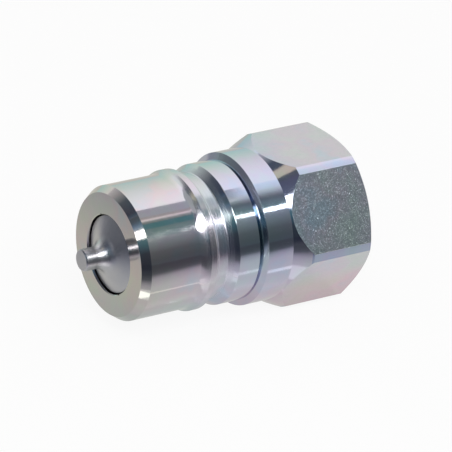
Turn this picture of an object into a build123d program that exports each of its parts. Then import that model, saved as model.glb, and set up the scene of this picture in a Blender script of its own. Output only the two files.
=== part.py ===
from build123d import *
import os
from math import atan, cos, degrees, radians, sin, tan

# Quick coupling plug, lying on a flat of its hexagon.
# The axis is X, the nose points to -X, and the origin is on the axis, where the port's bevel ends
# and its thread begins.
# Lengths named here run from the nose face towards the port, in millimetres.

# Overall
overall_length = 36.2

# Nose, locking shoulder, ball groove and ring of the front body; heights are above the nose
nose_d = 19.0
nose_length = 9.05
nose_chamfer_height = 0.8
nose_chamfer_length = 1.15
shoulder_height = 0.45
shoulder_rise_length = 1.4
shoulder_land = 1.05
shoulder_edge_radius = 0.25
groove_depth = 0.95
groove_entry_angle = 58.0
groove_floor_length = 1.7
groove_ramp_length = 1.25
groove_floor_radius = 0.35
ring_height = 0.475
ring_length = 3.75
ring_front_radius = 0.15
ring_rear_chamfer = 0.5

# Shank that screws into the adapter, and its seal groove
shank_d = 17.9
shank_length = 4.6
shank_end_chamfer = 0.4
seal_groove_start = 0.6
seal_groove_length = 2.1
seal_groove_depth = 1.0

# Bore of the front body
mouth_d = 11.25
mouth_length = 1.4
seat_angle = 45.0
chamber_d = 13.9
mouth_edge_chamfer = 0.12

# Rear adapter
collar_d = 21.7
collar_front_height = 0.95
collar_front_length = 0.42
collar_end = 23.2
cone_angle = 30.0
hex_across_flats = 22.0
hex_corner_d = 24.7
hex_rear_face_d = 21.2
adapter_socket_clearance = 0.05
adapter_shoulder_length = 1.0
adapter_throat_d = 13.2
port_d = 16.66
port_mouth_d = 17.66
port_bevel_angle = 45.0

# Poppet
pin_d = 3.1
pin_projection = 4.3
pin_edge_chamfer = 0.15
bell_fillet_radius = 2.2
bell_angle = 70.0
bell_rim_d = 10.8
bell_rim_depth = 0.42
lip_thickness = 0.85
head_groove_length = 1.4
head_groove_d = 9.3
head_flange_d = 12.2
head_flange_length = 1.0
spring_boss_d = 5.0
spring_boss_length = 1.2
stem_d = 3.0
stem_tail = 1.5
stem_tail_chamfer = 0.3

# Seal rings
poppet_seal_section = 1.4
seat_contact_gap = 0.05
joint_seal_section = 1.1
joint_seal_stretch_gap = 0.02
backup_ring_length = 0.7
backup_ring_gap = 0.03

# Spring
spring_wire_d = 0.9
spring_mean_d = 6.4
spring_turns = 7
spring_end_clearance = 0.05

# Valve guide
guide_thickness = 1.3
guide_rim_wall = 1.1
guide_clearance = 0.05
guide_arm_width = 2.0
guide_arm_count = 3
guide_hub_d = 5.0
guide_hub_length = 3.6
guide_bore_clearance = 0.06
guide_pocket_wall = 1.25


# Diameters and places along the axis, worked out from the sizes above
port_bevel_length = (port_mouth_d - port_d) / 2 / tan(radians(port_bevel_angle))
port_end = overall_length - port_bevel_length


def station(depth):
    """Axis position of a point this deep behind the nose face."""
    return depth - port_end


shoulder_d = nose_d + 2 * shoulder_height
groove_d = shoulder_d - 2 * groove_depth
ring_d = nose_d + 2 * ring_height
shoulder_start = nose_length
shoulder_top = shoulder_start + shoulder_rise_length
shoulder_end = shoulder_top + shoulder_land
groove_floor_start = shoulder_end + groove_depth / tan(radians(groove_entry_angle))
groove_floor_end = groove_floor_start + groove_floor_length
ring_start = groove_floor_end + groove_ramp_length
ring_end = ring_start + ring_length
shank_end = ring_end + shank_length
seat_start = mouth_length
seat_end = seat_start + (chamber_d - mouth_d) / 2 / tan(radians(seat_angle))
guide_pocket_floor = shank_end - guide_thickness
guide_pocket_d = shank_d - 2 * guide_pocket_wall
throat_end = shank_end + adapter_shoulder_length
port_start = throat_end + (port_d - adapter_throat_d) / 2 / tan(radians(port_bevel_angle))
head_front = bell_rim_depth
head_groove_start = head_front + lip_thickness
head_groove_end = head_groove_start + head_groove_length
head_rear = head_groove_end + head_flange_length
hub_front = guide_pocket_floor + guide_thickness - guide_hub_length
stem_end = shank_end + stem_tail
guide_bore_d = stem_d + 2 * guide_bore_clearance
socket_d = shank_d + 2 * adapter_socket_clearance


def turned(points):
    """Solid of revolution about X from the (depth, radius) corners of a half section."""
    outline = [(station(depth), r) for depth, r in points]
    return revolve(make_face(Polyline(*outline, close=True)), Axis.X, 360)


def hexagon_bar(start, end):
    """Hexagonal bar along X, with one flat facing down."""
    outline = RegularPolygon(hex_across_flats / 2, 6, major_radius=False)
    plane = Plane(origin=(station(start), 0, 0), x_dir=(0, 1, 0), z_dir=(1, 0, 0))
    return extrude(plane * outline, end - start)


def front_body():
    """Nose, shoulder, groove, ring and shank, bored for the poppet and its seat."""
    nose_r = nose_d / 2
    shoulder_r = shoulder_d / 2
    shank_r = shank_d / 2
    sweep_angle = 2 * degrees(atan(shoulder_height / shoulder_rise_length))
    sweep_radius = shoulder_rise_length / sin(radians(sweep_angle))
    nose = Polyline(
        (station(0), 0),
        (station(0), nose_r - nose_chamfer_height),
        (station(nose_chamfer_length), nose_r),
        (station(shoulder_start), nose_r),
    )
    sweep_up = JernArc(nose @ 1, (1, 0), sweep_radius, sweep_angle)
    rear = Polyline(
        sweep_up @ 1,
        (station(shoulder_end), shoulder_r),
        (station(groove_floor_start), groove_d / 2),
        (station(groove_floor_end), groove_d / 2),
        (station(ring_start), ring_d / 2),
        (station(ring_end - ring_rear_chamfer), ring_d / 2),
        (station(ring_end), ring_d / 2 - ring_rear_chamfer),
        (station(ring_end), shank_r),
        (station(shank_end - shank_end_chamfer), shank_r),
        (station(shank_end), shank_r - shank_end_chamfer),
        (station(shank_end), 0),
        (station(0), 0),
    )
    section = make_face(nose + sweep_up + rear)
    section = round_corner(section, (station(shoulder_end), shoulder_r), shoulder_edge_radius)
    section = round_corner(section, (station(groove_floor_start), groove_d / 2), groove_floor_radius)
    section = round_corner(section, (station(groove_floor_end), groove_d / 2), groove_floor_radius)
    section = round_corner(section, (station(ring_start), ring_d / 2), ring_front_radius)
    blank = revolve(section, Axis.X, 360)
    seal_start = ring_end + seal_groove_start
    seal_groove = ring_cut(seal_start, seal_start + seal_groove_length,
                           shank_r - seal_groove_depth, shank_r + 1)
    return blank - front_bore() - seal_groove


def round_corner(section, corner, radius):
    """Round one corner of a half section."""
    vertex = section.vertices().sort_by_distance((corner[0], corner[1], 0))[0]
    return fillet(vertex, radius)


def ring_cut(start, end, inner_r, outer_r):
    """Plain ring between two depths."""
    return turned([(start, inner_r), (end, inner_r), (end, outer_r), (start, outer_r)])


def front_bore():
    """Mouth, conical valve seat, chamber and guide pocket."""
    mouth_r = mouth_d / 2
    chamber_r = chamber_d / 2
    pocket_r = guide_pocket_d / 2
    return turned([
        (0, 0),
        (0, mouth_r + mouth_edge_chamfer),
        (mouth_edge_chamfer, mouth_r),
        (seat_start, mouth_r),
        (seat_end, chamber_r),
        (guide_pocket_floor, chamber_r),
        (guide_pocket_floor, pocket_r),
        (shank_end, pocket_r),
        (shank_end, 0),
    ])


def rear_adapter():
    """Collar, cone and hexagon, with the socket for the shank and the female port."""
    collar_r = collar_d / 2
    corner_r = hex_corner_d / 2
    cone_rise = corner_r - collar_r
    cone_end = collar_end + cone_rise / tan(radians(cone_angle))
    rear_drop = corner_r - hex_rear_face_d / 2
    rear_start = overall_length - rear_drop * tan(radians(cone_angle))
    envelope = turned([
        (ring_end, 0),
        (ring_end, collar_r - collar_front_height),
        (ring_end + collar_front_length, collar_r),
        (collar_end, collar_r),
        (cone_end, corner_r),
        (rear_start, corner_r),
        (overall_length, hex_rear_face_d / 2),
        (overall_length, 0),
    ])
    collar_part = ring_cut(ring_end, collar_end, 0, collar_r)
    blank = envelope & (hexagon_bar(collar_end, overall_length) + collar_part)
    return blank - adapter_bore()


def adapter_bore():
    """Socket for the shank, throat behind the guide, and port with its bevelled mouth."""
    port_r = port_d / 2
    return turned([
        (ring_end, 0),
        (ring_end, socket_d / 2),
        (shank_end, socket_d / 2),
        (shank_end, adapter_throat_d / 2),
        (throat_end, adapter_throat_d / 2),
        (port_start, port_r),
        (port_end, port_r),
        (overall_length, port_mouth_d / 2),
        (overall_length, 0),
    ])


def valve_poppet():
    """Pin, bell, grooved head, spring boss and stem, turned in one piece."""
    pin_r = pin_d / 2
    stem_r = stem_d / 2
    rim_r = bell_rim_d / 2
    bend_rise = bell_fillet_radius * (1 - cos(radians(bell_angle)))
    bend_run = bell_fillet_radius * sin(radians(bell_angle))
    flare_run = (rim_r - pin_r - bend_rise) / tan(radians(bell_angle))
    pin_root = bell_rim_depth - flare_run - bend_run
    pin = Polyline(
        (station(-pin_projection), 0),
        (station(-pin_projection), pin_r - pin_edge_chamfer),
        (station(-pin_projection + pin_edge_chamfer), pin_r),
        (station(pin_root), pin_r),
    )
    bend = JernArc(pin @ 1, (1, 0), bell_fillet_radius, bell_angle)
    head = Polyline(
        bend @ 1,
        (station(head_front), rim_r),
        (station(head_groove_start), rim_r),
        (station(head_groove_start), head_groove_d / 2),
        (station(head_groove_end), head_groove_d / 2),
        (station(head_groove_end), head_flange_d / 2),
        (station(head_rear), head_flange_d / 2),
        (station(head_rear), spring_boss_d / 2),
        (station(head_rear + spring_boss_length), spring_boss_d / 2),
        (station(head_rear + spring_boss_length), stem_r),
        (station(stem_end - stem_tail_chamfer), stem_r),
        (station(stem_end), stem_r - stem_tail_chamfer),
        (station(stem_end), 0),
        (station(-pin_projection), 0),
    )
    return revolve(make_face(pin + bend + head), Axis.X, 360)


def torus_ring(depth, middle_r, section_d):
    """Round-section seal ring about the axis."""
    circle = Pos(station(depth), middle_r) * Circle(section_d / 2)
    return revolve(circle, Axis.X, 360)


def poppet_seal():
    """Seal ring in the head's groove, just clear of the conical seat."""
    depth = head_groove_end - poppet_seal_section / 2
    standoff = poppet_seal_section / 2 + seat_contact_gap
    seat_r = mouth_d / 2 + (depth - seat_start) * tan(radians(seat_angle))
    middle_r = seat_r - standoff / cos(radians(seat_angle))
    ring = torus_ring(depth, middle_r, poppet_seal_section)
    groove_core = ring_cut(head_groove_start, head_groove_end, 0, head_groove_d / 2)
    return ring - groove_core


def joint_seal():
    """Seal ring between the shank's groove and the adapter's socket."""
    groove_floor_r = shank_d / 2 - seal_groove_depth
    start = ring_end + seal_groove_start
    depth = start + joint_seal_stretch_gap + joint_seal_section / 2
    ring = torus_ring(depth, groove_floor_r + joint_seal_section / 2, joint_seal_section)
    socket = ring_cut(start, start + seal_groove_length, 0, socket_d / 2)
    return ring & socket


def joint_backup_ring():
    """Square ring that backs the seal ring in the shank's groove."""
    end = ring_end + seal_groove_start + seal_groove_length - backup_ring_gap
    inner_r = shank_d / 2 - seal_groove_depth + backup_ring_gap
    outer_r = socket_d / 2 - backup_ring_gap
    return ring_cut(end - backup_ring_length, end, inner_r, outer_r)


def valve_guide():
    """Rim clamped between shank and adapter, with arms that carry the hub for the stem."""
    rim_r = guide_pocket_d / 2 - guide_clearance
    rim = ring_cut(guide_pocket_floor, shank_end, rim_r - guide_rim_wall, rim_r)
    hub = ring_cut(hub_front, shank_end, 0, guide_hub_d / 2)
    arm_box = Box(guide_thickness, guide_arm_width, rim_r - guide_rim_wall / 2,
                  align=(Align.MIN, Align.CENTER, Align.MIN))
    arms = [Rot(X=360 / guide_arm_count * i) * arm_box for i in range(guide_arm_count)]
    star = rim + hub
    for arm in arms:
        star = star + Pos(X=station(guide_pocket_floor)) * arm
    return star - ring_cut(hub_front, shank_end, 0, guide_bore_d / 2)


def valve_spring():
    """Compression spring from the poppet's head to the guide's rim face."""
    start = head_rear + spring_end_clearance + spring_wire_d / 2
    end = guide_pocket_floor - spring_end_clearance - spring_wire_d / 2
    pitch = (end - start) / spring_turns
    path = Helix(pitch, end - start, spring_mean_d / 2, direction=(1, 0, 0),
                 center=(station(start), 0, 0))
    wire_plane = Plane(origin=path @ 0, z_dir=path % 0)
    return sweep(wire_plane * Circle(spring_wire_d / 2), path=path, is_frenet=True)


pieces = {
    "front_body": front_body(),
    "rear_adapter": rear_adapter(),
    "valve_poppet": valve_poppet(),
    "poppet_seal": poppet_seal(),
    "valve_spring": valve_spring(),
    "valve_guide": valve_guide(),
    "joint_seal": joint_seal(),
    "joint_backup_ring": joint_backup_ring(),
}

os.makedirs("parts", exist_ok=True)
for name, piece in pieces.items():
    export_step(piece, f"parts/{name}.step")
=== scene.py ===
import math
import bmesh
import bpy
from mathutils import Matrix, Vector


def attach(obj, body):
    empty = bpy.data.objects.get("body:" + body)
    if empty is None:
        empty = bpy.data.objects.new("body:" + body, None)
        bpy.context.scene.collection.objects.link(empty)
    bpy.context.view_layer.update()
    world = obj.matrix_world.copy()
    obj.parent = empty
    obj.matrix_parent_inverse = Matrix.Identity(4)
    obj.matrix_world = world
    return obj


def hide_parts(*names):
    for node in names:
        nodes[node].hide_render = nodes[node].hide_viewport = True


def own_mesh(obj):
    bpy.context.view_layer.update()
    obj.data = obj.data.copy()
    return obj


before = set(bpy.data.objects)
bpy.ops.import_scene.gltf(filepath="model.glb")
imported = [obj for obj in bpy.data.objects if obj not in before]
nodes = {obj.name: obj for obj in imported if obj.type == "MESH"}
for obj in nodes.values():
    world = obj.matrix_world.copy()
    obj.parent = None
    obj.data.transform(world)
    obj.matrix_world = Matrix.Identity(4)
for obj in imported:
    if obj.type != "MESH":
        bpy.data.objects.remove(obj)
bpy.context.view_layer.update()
scene = bpy.context.scene

# Sizes in metres: the axis is X, the nose points to -X and the hexagon lies on a flat
MM = 0.001
FLOOR_Z = -11.02 * MM

# Parts of the hexagon: the reach of its flats, the least radius of its corners, and two heights
FLAT_REACH = 10.985 * MM
CORNER_RADIUS = 12.2 * MM
CORNER_TOP = 2.0 * MM
SIDE_FLAT_TOP = 10.8 * MM

# The port's thread, a rounded 55 degree ridge; its section is in mm, as place along and height
THREAD_ROOT_R = 8.345 * MM
THREAD_PITCH = 1.337 * MM
THREAD_START = -0.15 * MM
THREAD_LENGTH = 9.0 * MM
THREAD_MARGIN = 0.6 * MM
THREAD_STEPS = 72
THREAD_LEAST_RISE = 0.04
THREAD_SECTION = [
    (-0.557, 0.0), (-0.452, 0.20), (-0.162, 0.775), (-0.115, 0.845), (-0.045, 0.87),
    (0.045, 0.87), (0.115, 0.845), (0.162, 0.775), (0.452, 0.20), (0.557, 0.0),
]

# Bump depths in metres
TOOL_LINES = 0.0000007
GROOVE_RIDGES = 0.0000050
SOFT_WAVE = 0.0000060
FINE_GRAIN = 0.0000015
POPPET_LINES = 0.000010
WIRE_SKIN = 0.000002
RUBBER_SKIN = 0.000004

# How far the grains on the hexagon's flats lean
GRAIN_LEAN = 0.78

# The film's colour drifts with the place along the axis, moved a little by a noise
FILM_PER_METRE = 26.0
FILM_SHIFT = 0.75
FILM_DRIFT = 0.5

# Camera, fitted to the photo: mm and degrees
LENS = 307.68
SENSOR = 36.0
HEADING, DROP, ROLL = 55.070, 27.571, 5.640
CAMERA_PLACE = Vector((-289.476, -390.655, 249.293)) * MM

# Studio
STUDIO_CENTRE = Vector((-18.0, 0.0, 0.0)) * MM
LIGHT_DISTANCE = 0.80
NEAR_HEIGHT = 73.0
FLOOR_HALF = 3.0
FLOOR_FLAG_HALF = 1.0
FLOOR_FLAG_LIFT = 0.05 * MM
FLOOR_GLOW = 0.9
SHEEN_SHARE = 0.055
SHEEN_ROUGHNESS = 0.06
SKY_LIGHT = 0.55
KEY_PLACE = (-0.15, -0.55, 0.65)
KEY_SIZE = (0.8, 0.5)
KEY_POWER = 4.0


def link(obj):
    scene.collection.objects.link(obj)
    return obj


# Node helpers
def new_material(name, metallic):
    """A plain surface: the material, its tree and its shader."""
    material = bpy.data.materials.new(name)
    material.use_nodes = True
    tree = material.node_tree
    shader = tree.nodes["Principled BSDF"]
    shader.inputs["Metallic"].default_value = metallic
    return material, tree, shader


def empty_material(name):
    """A material with no nodes yet."""
    material = bpy.data.materials.new(name)
    material.use_nodes = True
    material.node_tree.nodes.clear()
    return material, material.node_tree


def add(tree, kind, **settings):
    node = tree.nodes.new(kind)
    for key, value in settings.items():
        setattr(node, key, value)
    return node


def maths(tree, operation, a, b=None, kind="ShaderNodeMath"):
    """One step of arithmetic on one or two values, each a socket or a plain value."""
    node = add(tree, kind, operation=operation)
    for socket, value in zip(node.inputs, (a, b)):
        if isinstance(value, bpy.types.NodeSocket):
            tree.links.new(value, socket)
        elif value is not None:
            socket.default_value = value
    return node.outputs[0]


def vectors(tree, operation, a, b=None):
    """One step of arithmetic on one or two vectors."""
    return maths(tree, operation, a, b, "ShaderNodeVectorMath")


def weighed(tree, first, first_share, second, second_share):
    """first * first_share + second * second_share"""
    return maths(tree, "ADD", maths(tree, "MULTIPLY", first, first_share),
                 maths(tree, "MULTIPLY", second, second_share))


def span(tree, value, start, end):
    """0 where the value is at start and 1 where it is at end."""
    return maths(tree, "DIVIDE", maths(tree, "SUBTRACT", value, start), end - start)


def noise(tree, vector, scale, detail=2.0, roughness=0.5, dimensions="3D"):
    node = add(tree, "ShaderNodeTexNoise", noise_dimensions=dimensions)
    node.inputs["Scale"].default_value = scale
    node.inputs["Detail"].default_value = detail
    node.inputs["Roughness"].default_value = roughness
    tree.links.new(vector, node.inputs["Vector"])
    return node.outputs[0]


def grey(value):
    return (value, value, value)


def ramp(tree, factor, stops):
    """A colour ramp through (place, colour) stops."""
    node = add(tree, "ShaderNodeValToRGB")
    tree.links.new(factor, node.inputs["Fac"])
    elements = node.color_ramp.elements
    while len(elements) < len(stops):
        elements.new(0.5)
    for element, (place, colour) in zip(elements, stops):
        element.position = place
        element.color = (*colour, 1.0)
    return node.outputs["Color"]


def between(tree, factor, low, high, start=0.3, end=0.7):
    """The low colour up to start and the high one from end on; a noise lies mostly between them."""
    return ramp(tree, factor, [(start, low), (end, high)])


def mix_colour(tree, factor, a, b, blend="MIX"):
    node = add(tree, "ShaderNodeMix", data_type="RGBA", blend_type=blend)
    factor_socket, a_socket, b_socket = node.inputs[0], node.inputs[6], node.inputs[7]
    if isinstance(factor, float):
        factor_socket.default_value = factor
    else:
        tree.links.new(factor, factor_socket)
    tree.links.new(a, a_socket)
    tree.links.new(b, b_socket)
    return node.outputs[2]


def multiplied(tree, a, b):
    return mix_colour(tree, 1.0, a, b, "MULTIPLY")


def masked_tint(tree, colour, mask, overlay):
    """The colour, multiplied by another colour where the mask is 1."""
    return multiplied(tree, colour, between(tree, mask, grey(1.0), overlay, 0.0, 1.0))


def object_coords(tree):
    return add(tree, "ShaderNodeTexCoord").outputs["Object"]


def object_point(tree):
    """Object coordinates as one vector and as x, y and z."""
    coords = object_coords(tree)
    split = add(tree, "ShaderNodeSeparateXYZ")
    tree.links.new(coords, split.inputs[0])
    return coords, split.outputs["X"], split.outputs["Y"], split.outputs["Z"]


def turned_point(tree, x, y, z):
    """The radius, and the vector (place along the axis, radius, 0) that draws rings round the axis."""
    y_squared = maths(tree, "MULTIPLY", y, y)
    z_squared = maths(tree, "MULTIPLY", z, z)
    radius = maths(tree, "SQRT", maths(tree, "ADD", y_squared, z_squared))
    join = add(tree, "ShaderNodeCombineXYZ")
    tree.links.new(x, join.inputs["X"])
    tree.links.new(radius, join.inputs["Y"])
    return radius, join.outputs[0]


def bump(tree, shader, height, depth, below=None):
    """A bump over the one below it, linked to the shader until another goes on top."""
    node = add(tree, "ShaderNodeBump")
    node.inputs["Strength"].default_value = 1.0
    node.inputs["Distance"].default_value = depth
    tree.links.new(height, node.inputs["Height"])
    if below is not None:
        tree.links.new(below, node.inputs["Normal"])
    tree.links.new(node.outputs[0], shader.inputs["Normal"])
    return node.outputs[0]


# Finishes
def tinted(tree, coords, x, z):
    """Clear film over zinc: warm and greenish on the nose, blue and lavender behind it, in patches."""
    drift = maths(tree, "MULTIPLY", noise(tree, coords, scale=55.0), FILM_DRIFT)
    along = maths(tree, "ADD", maths(tree, "MULTIPLY", x, FILM_PER_METRE), drift)
    base = ramp(tree, maths(tree, "ADD", along, FILM_SHIFT), [
        (0.05, (0.61, 0.615, 0.565)),
        (0.30, (0.60, 0.625, 0.655)),
        (0.45, (0.535, 0.62, 0.70)),
        (0.62, (0.52, 0.59, 0.69)),
        (0.80, (0.585, 0.61, 0.66)),
    ])
    patches = ramp(tree, noise(tree, coords, scale=170.0, detail=3.0, roughness=0.55), [
        (0.30, (0.95, 1.01, 0.94)),
        (0.43, (1.00, 1.00, 0.99)),
        (0.55, (1.04, 0.94, 1.00)),
        (0.68, (0.91, 0.98, 1.06)),
    ])
    whole = multiplied(tree, base, patches)
    # The underside is cooler towards the nose and pinker towards the hexagon
    rearward = span(tree, x, -32.0 * MM, -12.0 * MM)
    under = between(tree, rearward, (0.93, 0.99, 1.02), (1.12, 0.93, 0.93), 0.35, 0.60)
    low = between(tree, span(tree, z, 0.0, -8.0 * MM), grey(0.0), grey(1.0), 0.40, 0.80)
    return mix_colour(tree, low, whole, multiplied(tree, whole, under))


def flat_mask(tree, y, z):
    """1 on the hexagon's flats: there a point reaches as far squarely across as a flat does."""
    across = None
    for turn in (0, 60, 120):
        angle = math.radians(turn)
        side = maths(tree, "ABSOLUTE", weighed(tree, y, math.sin(angle), z, math.cos(angle)))
        across = side if across is None else maths(tree, "MAXIMUM", across, side)
    return maths(tree, "GREATER_THAN", across, FLAT_REACH)


def grained(tree, coords, normal, mask):
    """The normal, leaned another way in each small cell where the mask is 1."""
    cells = add(tree, "ShaderNodeTexVoronoi")
    cells.inputs["Scale"].default_value = 8600.0
    tree.links.new(coords, cells.inputs["Vector"])
    tilt = vectors(tree, "SUBTRACT", cells.outputs["Color"], grey(0.5))
    # A grain's lean is cubed, so most lie nearly flat and a few stand out as bright points
    cubed = vectors(tree, "MULTIPLY", vectors(tree, "MULTIPLY", tilt, tilt), tilt)
    lean = vectors(tree, "MULTIPLY", cubed, maths(tree, "MULTIPLY", mask, GRAIN_LEAN))
    return vectors(tree, "NORMALIZE", vectors(tree, "ADD", normal, lean))


def plated_turned(name, flats):
    """Turned, zinc plated steel with a clear iridescent film; the hexagon's drawn flats are grainy."""
    material, tree, shader = new_material(name, metallic=1.0)
    coords, x, y, z = object_point(tree)
    radius, turned = turned_point(tree, x, y, z)
    colour = tinted(tree, coords, x, z)
    mottle = noise(tree, coords, scale=900.0, detail=4.0, roughness=0.6)
    shine = between(tree, mottle, grey(0.06), grey(0.11))
    # The locking shoulder and the ball groove are cut more coarsely
    groove = ramp(tree, span(tree, x, -30.0 * MM, -20.0 * MM), [
        (0.36, grey(0.0)), (0.44, grey(1.0)), (0.86, grey(1.0)), (0.90, grey(0.0))])
    ridges = noise(tree, turned, scale=2600.0, detail=4.0, roughness=0.7, dimensions="2D")
    shine = mix_colour(tree, groove, shine, between(tree, ridges, grey(0.16), grey(0.28)))
    lines = noise(tree, turned, scale=7000.0, detail=3.0, roughness=0.7, dimensions="2D")
    wave = noise(tree, coords, scale=420.0)
    grain = noise(tree, coords, scale=5200.0, detail=3.0, roughness=0.7)
    normal = bump(tree, shader, lines, TOOL_LINES)
    normal = bump(tree, shader, maths(tree, "MULTIPLY", ridges, groove), GROOVE_RIDGES, normal)
    normal = bump(tree, shader, wave, SOFT_WAVE, normal)
    normal = bump(tree, shader, grain, FINE_GRAIN, normal)
    if flats:
        on_flat = flat_mask(tree, y, z)
        tree.links.new(grained(tree, coords, normal, on_flat), shader.inputs["Normal"])
        patchy = noise(tree, coords, scale=1500.0, detail=3.0, roughness=0.6)
        satin = between(tree, patchy, grey(0.15), grey(0.22), 0.35, 0.65)
        shine = mix_colour(tree, on_flat, shine, satin)
        # The turned corners at half height and below are bluer and darker
        outside = maths(tree, "GREATER_THAN", radius, CORNER_RADIUS)
        corner = maths(tree, "MULTIPLY", outside, maths(tree, "LESS_THAN", z, CORNER_TOP))
        corner = maths(tree, "MULTIPLY", corner, maths(tree, "SUBTRACT", 1.0, on_flat))
        colour = masked_tint(tree, colour, corner, (0.72, 0.82, 0.93))
        # The upper side flats are paler and greener: painted light, a brighter and greener reflection
        # painted on them
        upper = maths(tree, "GREATER_THAN", z, 0.0)
        side = maths(tree, "MULTIPLY", upper, maths(tree, "LESS_THAN", z, SIDE_FLAT_TOP))
        colour = masked_tint(tree, colour, maths(tree, "MULTIPLY", side, on_flat), (1.13, 1.21, 1.14))
    tree.links.new(colour, shader.inputs["Base Color"])
    tree.links.new(shine, shader.inputs["Roughness"])
    return material


def turned_poppet():
    """Plainer turned steel with rings left by the tool and a satin shine."""
    material, tree, shader = new_material("turned_poppet", metallic=1.0)
    coords, x, y, z = object_point(tree)
    _, turned = turned_point(tree, x, y, z)
    patch = noise(tree, coords, scale=300.0, detail=3.0)
    tint = between(tree, patch, (0.56, 0.57, 0.61), (0.62, 0.62, 0.64))
    tree.links.new(tint, shader.inputs["Base Color"])
    lines = noise(tree, turned, scale=3200.0, detail=4.0, roughness=0.75, dimensions="2D")
    tree.links.new(between(tree, lines, grey(0.27), grey(0.36)), shader.inputs["Roughness"])
    normal = bump(tree, shader, lines, POPPET_LINES)
    bump(tree, shader, noise(tree, coords, scale=6000.0), FINE_GRAIN, normal)
    return material


def drawn_wire():
    """Stainless spring wire with a satin drawn skin."""
    material, tree, shader = new_material("drawn_wire", metallic=1.0)
    coords = object_coords(tree)
    patch = noise(tree, coords, scale=700.0, detail=3.0)
    tint = between(tree, patch, (0.50, 0.50, 0.51), (0.57, 0.565, 0.56))
    tree.links.new(tint, shader.inputs["Base Color"])
    skin = noise(tree, coords, scale=4500.0, detail=3.0)
    tree.links.new(between(tree, skin, grey(0.20), grey(0.32)), shader.inputs["Roughness"])
    bump(tree, shader, skin, WIRE_SKIN)
    return material


def rubber():
    """Black nitrile rubber with a fine matt skin."""
    material, tree, shader = new_material("seal_rubber_black", metallic=0.0)
    coords = object_coords(tree)
    patch = noise(tree, coords, scale=700.0, detail=4.0, roughness=0.6)
    tree.links.new(between(tree, patch, grey(0.010), grey(0.020)), shader.inputs["Base Color"])
    tree.links.new(between(tree, patch, grey(0.42), grey(0.58)), shader.inputs["Roughness"])
    bump(tree, shader, noise(tree, coords, scale=5000.0, detail=3.0), RUBBER_SKIN)
    return material


def fluoropolymer():
    """White back-up ring plastic, slightly waxy."""
    material, tree, shader = new_material("backup_white", metallic=0.0)
    patch = noise(tree, object_coords(tree), scale=500.0, detail=3.0)
    tint = between(tree, patch, (0.78, 0.77, 0.72), (0.84, 0.83, 0.79))
    tree.links.new(tint, shader.inputs["Base Color"])
    tree.links.new(between(tree, patch, grey(0.45), grey(0.60)), shader.inputs["Roughness"])
    return material


poppet_steel = turned_poppet()
black = rubber()
finishes = {
    "front_body": plated_turned("plated_turned", flats=False),
    "rear_adapter": plated_turned("plated_adapter", flats=True),
    "valve_poppet": poppet_steel,
    "valve_guide": poppet_steel,
    "valve_spring": drawn_wire(),
    "poppet_seal": black,
    "joint_seal": black,
    "joint_backup_ring": fluoropolymer(),
}
for name, node in nodes.items():
    node.data.materials.clear()
    node.data.materials.append(finishes[name])


# Female port thread, cut inside the hexagon
def thread_mesh():
    """One right-handed ridge that fades out over half a turn at each end."""
    first = THREAD_START - THREAD_MARGIN
    last = THREAD_START - THREAD_LENGTH + THREAD_MARGIN
    steps = int(round((first - last) / THREAD_PITCH * THREAD_STEPS))
    verts, faces = [], []
    for i in range(steps + 1):
        turn = 2 * math.pi * i / THREAD_STEPS
        x = last + THREAD_PITCH * i / THREAD_STEPS
        rise = min(1.0, THREAD_LEAST_RISE + min(i, steps - i) / (THREAD_STEPS / 2))
        for across, height in THREAD_SECTION:
            r = THREAD_ROOT_R - height * rise * MM
            verts.append((x + across * rise * MM, r * math.cos(turn), r * math.sin(turn)))
    n = len(THREAD_SECTION)
    for i in range(steps):
        for j in range(n):
            k = (j + 1) % n
            faces.append((i * n + j, i * n + k, (i + 1) * n + k, (i + 1) * n + j))
    faces.append(tuple(range(n)))
    faces.append(tuple(steps * n + j for j in reversed(range(n))))
    mesh = bpy.data.meshes.new("port_thread")
    mesh.from_pydata(verts, [], faces)
    grid = bmesh.new()
    grid.from_mesh(mesh)
    bmesh.ops.recalc_face_normals(grid, faces=grid.faces)
    grid.to_mesh(mesh)
    grid.free()
    mesh.shade_smooth()
    return mesh


thread = link(bpy.data.objects.new("port_thread", thread_mesh()))
thread.data.materials.append(finishes["rear_adapter"])
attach(thread, "body")


# The poppet squeezes the spring; a copy of the CAD's rigid coil, on a mesh of its own, stands in for it
coil = link(bpy.data.objects.new("spring_coil", nodes["valve_spring"].data.copy()))
coil.data.name = "spring_coil"
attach(coil, "body")
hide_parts("valve_spring")
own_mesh(coil)


# Camera
camera_data = bpy.data.cameras.new("camera")
camera = link(bpy.data.objects.new("camera", camera_data))
camera_data.sensor_width = SENSOR
camera_data.lens = LENS
camera_data.clip_start = 0.01
camera_data.clip_end = 20.0
heading, drop, roll = math.radians(HEADING), math.radians(DROP), math.radians(ROLL)
reach = math.cos(drop)
forward = Vector((reach * math.cos(heading), reach * math.sin(heading), -math.sin(drop)))
level = Vector((math.sin(heading), -math.cos(heading), 0.0))
upright = level.cross(forward)
right = level * math.cos(roll) + upright * math.sin(roll)
up = upright * math.cos(roll) - level * math.sin(roll)
pose = Matrix((right, up, -forward)).transposed().to_4x4()
pose.translation = CAMERA_PLACE
camera.matrix_world = pose
scene.camera = camera


# Studio cards, which only reflections see
def patch_mesh(name, rows):
    """A sheet through rows of points."""
    wide = len(rows[0])
    faces = []
    for j in range(len(rows) - 1):
        for i in range(wide - 1):
            k = j * wide + i
            faces.append((k, k + 1, k + wide + 1, k + wide))
    mesh = bpy.data.meshes.new(name)
    mesh.from_pydata([point for row in rows for point in row], [], faces)
    return mesh


def level_mesh(name, x, y, z):
    """A level rectangle between two x and two y."""
    return patch_mesh(name, [[(x[0], y[0], z), (x[1], y[0], z)], [(x[0], y[1], z), (x[1], y[1], z)]])


def sphere_point(az, el, radius):
    """The point at a heading and a height, in degrees, on a sphere."""
    a, e = math.radians(az), math.radians(el)
    return (math.cos(e) * math.cos(a) * radius, math.cos(e) * math.sin(a) * radius, math.sin(e) * radius)


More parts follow.
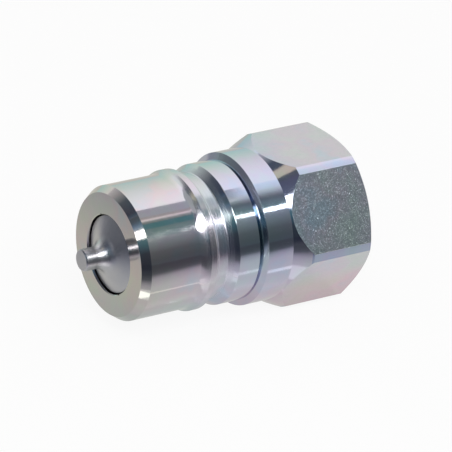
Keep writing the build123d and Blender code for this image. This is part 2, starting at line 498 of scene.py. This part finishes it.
def glow_card(name, mesh, colour, strength=1.0, place=(0.0, 0.0, 0.0)):
    """A card that shines in one colour, or in the colour of a function that adds nodes."""
    card = link(bpy.data.objects.new(name, mesh))
    card.location = place
    material, tree = empty_material(name)
    emission = add(tree, "ShaderNodeEmission")
    if callable(colour):
        tree.links.new(colour(tree), emission.inputs["Color"])
    else:
        emission.inputs["Color"].default_value = (*colour, 1.0)
    emission.inputs["Strength"].default_value = strength
    output = add(tree, "ShaderNodeOutputMaterial")
    tree.links.new(emission.outputs[0], output.inputs["Surface"])
    mesh.materials.append(material)
    card.visible_camera = False
    card.visible_diffuse = False
    card.visible_shadow = False
    card.visible_transmission = False
    return card


def dome_card(name, az, el, radius, stops, along="el"):
    """Part of a sphere between two headings and two heights; its stops run along one of them."""
    steps_az, steps_el = 24, 12
    rows = []
    for j in range(steps_el + 1):
        e = el[0] + (el[1] - el[0]) * j / steps_el
        rows.append([sphere_point(az[0] + (az[1] - az[0]) * i / steps_az, e, radius)
                     for i in range(steps_az + 1)])

    def colour(tree):
        coords, x, y, z = object_point(tree)
        if along == "el":
            height = maths(tree, "ARCSINE", maths(tree, "DIVIDE", z, radius))
            return ramp(tree, span(tree, height, math.radians(el[0]), math.radians(el[1])), stops)
        middle = math.radians((az[0] + az[1]) / 2)
        half = math.radians((az[1] - az[0]) / 2)
        outward = weighed(tree, x, math.cos(middle), y, math.sin(middle))
        aside = weighed(tree, y, math.cos(middle), x, -math.sin(middle))
        return ramp(tree, span(tree, maths(tree, "ARCTAN2", aside, outward), -half, half), stops)

    return glow_card(name, patch_mesh(name, rows), colour, place=STUDIO_CENTRE)


def arc_light(name, low, high, strength):
    """A white light between two lines of (heading, height) points, in degrees."""
    steps = 8
    rows = []
    for (az_low, el_low), (az_high, el_high) in zip(low, high):
        rows.append([sphere_point(az_low + (az_high - az_low) * j / steps,
                                  el_low + (el_high - el_low) * j / steps, LIGHT_DISTANCE)
                     for j in range(steps + 1)])
    return glow_card(name, patch_mesh(name, rows), grey(1.0), strength, STUDIO_CENTRE)


def level_card(name, x, y, z, colour):
    """A level rectangle between two x and two y, at the height z, all in mm."""
    mesh = level_mesh(name, [value * MM for value in x], [value * MM for value in y], z * MM)
    return glow_card(name, mesh, colour)


# Headings and heights are in degrees and distances in metres; a nearer card covers one behind it

# The softbox has a level lower edge and a round upper one
SOFTBOX_LOW, SOFTBOX_SHOULDER, SOFTBOX_RISE = 37.0, 38.0, 23.0
SOFTBOX_MIDDLE, SOFTBOX_HALF = -99.5, 44.0
SOFTBOX_HEADINGS = range(-148, -56, 5)
softbox_low, softbox_high = [], []
for az in SOFTBOX_HEADINGS:
    bow = math.sqrt(max(0.0, 1 - ((az - SOFTBOX_MIDDLE) / SOFTBOX_HALF) ** 2))
    softbox_low.append((az, SOFTBOX_LOW))
    softbox_high.append((az, SOFTBOX_SHOULDER + SOFTBOX_RISE * bow))
arc_light("softbox", softbox_low, softbox_high, strength=5.5)

# The sharp bright streak along the turned parts
arc_light("side_light", [(-50.3, 36.6), (-49.5, 38.0), (-47.9, 40.5)],
          [(-20.0, 36.6), (-20.0, 38.0), (-20.0, 40.5)], strength=9.0)

# Dark room below the lights
dome_card("front_flag", (-168, -40), (-3, 37), 0.84, [
    (0.0, (0.09, 0.10, 0.12)),
    (0.25, (0.10, 0.11, 0.12)),
    (0.50, (0.13, 0.14, 0.15)),
    (0.72, (0.21, 0.23, 0.25)),
    (0.88, (0.28, 0.30, 0.34)),
    (1.0, (0.36, 0.38, 0.42)),
])

# The white patch on the nose's chamfer, and the blue that fades away above it
arc_light("softbox_corner", [(-151.5, 42.0), (-150.0, 39.0), (-146.0, 35.0), (-139.5, 34.0)],
          [(-151.5, 45.0), (-150.0, 45.0), (-146.0, 44.5), (-139.5, 43.0)], strength=3.5)
dome_card("edge_blue", (-178, -151), (45, 59), 0.84, [
    (0.0, (0.095, 0.11, 0.13)),
    (0.45, (0.10, 0.135, 0.17)),
    (0.74, (0.17, 0.26, 0.38)),
    (0.90, (0.34, 0.46, 0.58)),
    (1.0, (0.50, 0.62, 0.75)),
], along="az")

# The dark band above the streak, and the pale blue one above that
dome_card("teal_flag", (-57, -19), (37, 64), 0.83, [
    (0.0, (0.28, 0.34, 0.38)),
    (0.3, (0.19, 0.27, 0.29)),
    (0.45, (0.185, 0.22, 0.255)),
    (0.55, (0.14, 0.165, 0.19)),
    (0.68, (0.28, 0.285, 0.30)),
    (0.82, (0.52, 0.56, 0.59)),
    (1.0, (0.78, 0.82, 0.82)),
], along="az")
dome_card("blue_edge", (-19, 0), (44, 64), 0.85, [
    (0.0, (0.80, 0.85, 0.90)),
    (0.4, (0.90, 0.97, 1.08)),
    (1.0, (1.00, 1.06, 1.20)),
], along="az")

# Grey, warm and teal bands on the nose only, so these cards are near it
level_card("near_flag", (-3, 19.5), (-15, 2.5), NEAR_HEIGHT, (0.45, 0.46, 0.53))
level_card("near_rim", (-3, 19.5), (-20.5, -15), NEAR_HEIGHT, (0.46, 0.42, 0.44))
level_card("warm_edge", (-3, 19.5), (-25, -20.5), NEAR_HEIGHT, (0.88, 0.76, 0.80))
level_card("teal_edge", (2, 19.5), (-45, -31), NEAR_HEIGHT, (0.10, 0.22, 0.26))

# Just over the floor, painted reflections of the lights in it: a thin line low on the turned parts and a
# spot low on the nose's chamfer
level_card("floor_line_reflection", (-30, -18), (-17.0, -16.2), -10.85, (1.0, 0.94, 0.92))
level_card("floor_spot_reflection", (-43.5, -39), (-17, -12.8), -10.8, (1.7, 1.7, 1.68))

# Dark left front, and the grey wall behind the softbox
dome_card("left_dark", (-168, -112), (-3, 37), 0.83, [
    (0.0, (0.035, 0.04, 0.055)),
    (0.45, (0.045, 0.055, 0.07)),
    (0.72, (0.075, 0.15, 0.185)),
    (1.0, (0.15, 0.26, 0.31)),
])
dome_card("high_flag", (-180, -57), (36, 66), 0.86, [
    (0.0, (0.20, 0.24, 0.30)),
    (0.5, (0.15, 0.18, 0.24)),
    (1.0, (0.13, 0.13, 0.19)),
])

# Far left, low down, as the collar's front slope and the poppet's bell see it
dome_card("left_low", (98, 182), (-3, 20), 0.87, [
    (0.0, (0.46, 0.47, 0.48)),
    (0.20, (0.36, 0.37, 0.38)),
    (0.32, (0.22, 0.23, 0.24)),
    (0.50, (0.165, 0.17, 0.19)),
    (0.60, (0.18, 0.185, 0.205)),
    (0.72, (0.27, 0.275, 0.30)),
    (1.0, (0.27, 0.275, 0.30)),
], along="az")
# A painted patch of light on the floor far to the left, seen in the top of the collar's front slope
level_card("far_floor_light", (-400, -60), (140, 750), -10.7, (0.34, 0.35, 0.36))

# Ceiling
dome_card("roof_dark", (-176, -110), (66, 80), 0.87, [(0.0, (0.12, 0.13, 0.15)), (1.0, grey(0.22))])
dome_card("roof_left", (96, 152), (62, 80), 0.87, [(0.0, (0.10, 0.12, 0.15)), (1.0, (0.12, 0.14, 0.17))])
dome_card("roof_warm", (152, 184), (62, 77), 0.87, [(0.0, (0.80, 0.68, 0.50)), (1.0, (0.84, 0.74, 0.58))])
dome_card("ceiling_flag", (-180, 180), (65, 90), 0.90, [
    (0.0, (0.52, 0.52, 0.56)),
    (1.0, (0.46, 0.46, 0.48)),
])

# Pale walls behind the object, and the left wall: pale, then dark, and blue where it ends
dome_card("back_high", (-24, 75), (33, 65), 0.86, [
    (0.0, (1.00, 0.95, 0.90)),
    (0.5, (1.18, 1.08, 1.08)),
    (1.0, (1.24, 1.20, 1.30)),
])
dome_card("back_low", (20, 100), (-3, 33), 0.87, [
    (0.0, (0.52, 0.68, 0.66)),
    (0.25, (0.60, 0.76, 0.70)),
    (0.7, (0.84, 0.87, 0.79)),
    (1.0, (1.00, 0.95, 0.90)),
])
dome_card("left_flag", (100, 214), (-3, 65), 0.88, [
    (0.0, grey(0.60)),
    (0.14, grey(0.30)),
    (0.26, (0.11, 0.12, 0.14)),
    (0.60, (0.06, 0.07, 0.10)),
    (0.80, (0.10, 0.17, 0.24)),
    (1.0, (0.22, 0.36, 0.52)),
], along="az")


# Floor
def direct_rays(tree):
    """1 for rays from the camera, off a reflection or through glass, and 0 for the rest."""
    path = add(tree, "ShaderNodeLightPath")
    bounced = maths(tree, "MAXIMUM", path.outputs["Is Glossy Ray"], path.outputs["Is Transmission Ray"])
    return maths(tree, "MAXIMUM", path.outputs["Is Camera Ray"], bounced)


def floor_material():
    """White paper that glows evenly in direct view, so its shadow is pale and soft."""
    material, tree = empty_material("floor_paper")
    diffuse = add(tree, "ShaderNodeBsdfDiffuse")
    cloud = noise(tree, object_coords(tree), scale=40.0, detail=4.0)
    paper = between(tree, cloud, (0.88, 0.88, 0.87), (0.91, 0.91, 0.90))
    tree.links.new(paper, diffuse.inputs["Color"])
    glow = add(tree, "ShaderNodeEmission")
    glow.inputs["Strength"].default_value = 1.0
    blend = add(tree, "ShaderNodeMixShader")
    tree.links.new(maths(tree, "MULTIPLY", direct_rays(tree), FLOOR_GLOW), blend.inputs[0])
    tree.links.new(diffuse.outputs[0], blend.inputs[1])
    tree.links.new(glow.outputs[0], blend.inputs[2])
    output = add(tree, "ShaderNodeOutputMaterial")
    tree.links.new(blend.outputs[0], output.inputs["Surface"])
    return material


def square(name, half, z):
    return level_mesh(name, (-half, half), (-half, half), z)


floor = link(bpy.data.objects.new("floor", square("floor", FLOOR_HALF, FLOOR_Z)))
floor.data.materials.append(floor_material())


# A flag over the floor that only reflections see: a pool of light round the object
def pool_colour(tree):
    """A painted pool of light and shade: pale near the object, dark in front of a slanted edge and to the
    left, and cooler painted shade under the object and further back.
    """
    coords, x, y, z = object_point(tree)
    front = span(tree, weighed(tree, y, -0.91, x, -0.41), 4.0 * MM, 104.0 * MM)
    left = span(tree, x, -42.0 * MM, -142.0 * MM)
    pool = ramp(tree, maths(tree, "MAXIMUM", front, left), [
        (0.0, (0.76, 0.75, 0.70)),
        (0.12, (0.72, 0.70, 0.69)),
        (0.25, (0.62, 0.59, 0.62)),
        (0.345, (0.44, 0.40, 0.46)),
        (0.40, (0.26, 0.24, 0.28)),
        (0.45, (0.12, 0.12, 0.14)),
        (0.60, (0.085, 0.085, 0.10)),
        (1.0, (0.075, 0.075, 0.09)),
    ])
    # Painted shade under the object and further back: darker and cooler
    under_shade = ramp(tree, span(tree, y, -20.0 * MM, 20.0 * MM), [
        (0.26, grey(1.0)),
        (0.38, (0.80, 0.84, 0.83)),
        (0.5, (0.77, 0.79, 0.78)),
        (0.75, (0.81, 0.80, 0.77)),
    ])
    left_shade = ramp(tree, span(tree, x, 0.0, -100.0 * MM), [
        (0.46, grey(1.0)),
        (0.62, (0.62, 0.66, 0.74)),
        (1.0, (0.40, 0.46, 0.56)),
    ])
    return multiplied(tree, pool, multiplied(tree, under_shade, left_shade))


pool_mesh = square("floor_flag", FLOOR_FLAG_HALF, FLOOR_Z + FLOOR_FLAG_LIFT)
pool = glow_card("floor_flag", pool_mesh, pool_colour)

# A faint sheen over its glow
pool_tree = pool.data.materials[0].node_tree
sheen = add(pool_tree, "ShaderNodeBsdfGlossy")
sheen.inputs["Roughness"].default_value = SHEEN_ROUGHNESS
sheen.inputs["Color"].default_value = (*grey(SHEEN_SHARE), 1.0)
both = add(pool_tree, "ShaderNodeAddShader")
pool_tree.links.new(pool_tree.nodes["Emission"].outputs[0], both.inputs[0])
pool_tree.links.new(sheen.outputs[0], both.inputs[1])
pool_tree.links.new(both.outputs[0], pool_tree.nodes["Material Output"].inputs["Surface"])


# World: white in direct view and softer as a light
def background(tree, strength):
    node = add(tree, "ShaderNodeBackground")
    node.inputs["Color"].default_value = (*grey(1.0), 1.0)
    node.inputs["Strength"].default_value = strength
    return node.outputs[0]


world = bpy.data.worlds.new("studio")
scene.world = world
world.use_nodes = True
sky = world.node_tree
sky.nodes.clear()
blend = add(sky, "ShaderNodeMixShader")
sky.links.new(direct_rays(sky), blend.inputs[0])
sky.links.new(background(sky, SKY_LIGHT), blend.inputs[1])
sky.links.new(background(sky, 1.0), blend.inputs[2])
output = add(sky, "ShaderNodeOutputWorld")
sky.links.new(blend.outputs[0], output.inputs["Surface"])

# Key lamp, which reflections don't see
key_data = bpy.data.lights.new("key", "AREA")
key_data.shape = "RECTANGLE"
key_data.size, key_data.size_y = KEY_SIZE
key_data.energy = KEY_POWER
key = link(bpy.data.objects.new("key", key_data))
key.location = KEY_PLACE
key.rotation_mode = "QUATERNION"
key.rotation_quaternion = (STUDIO_CENTRE - key.location).to_track_quat("-Z", "Y")
key.visible_glossy = False

scene.view_settings.view_transform = "Standard"
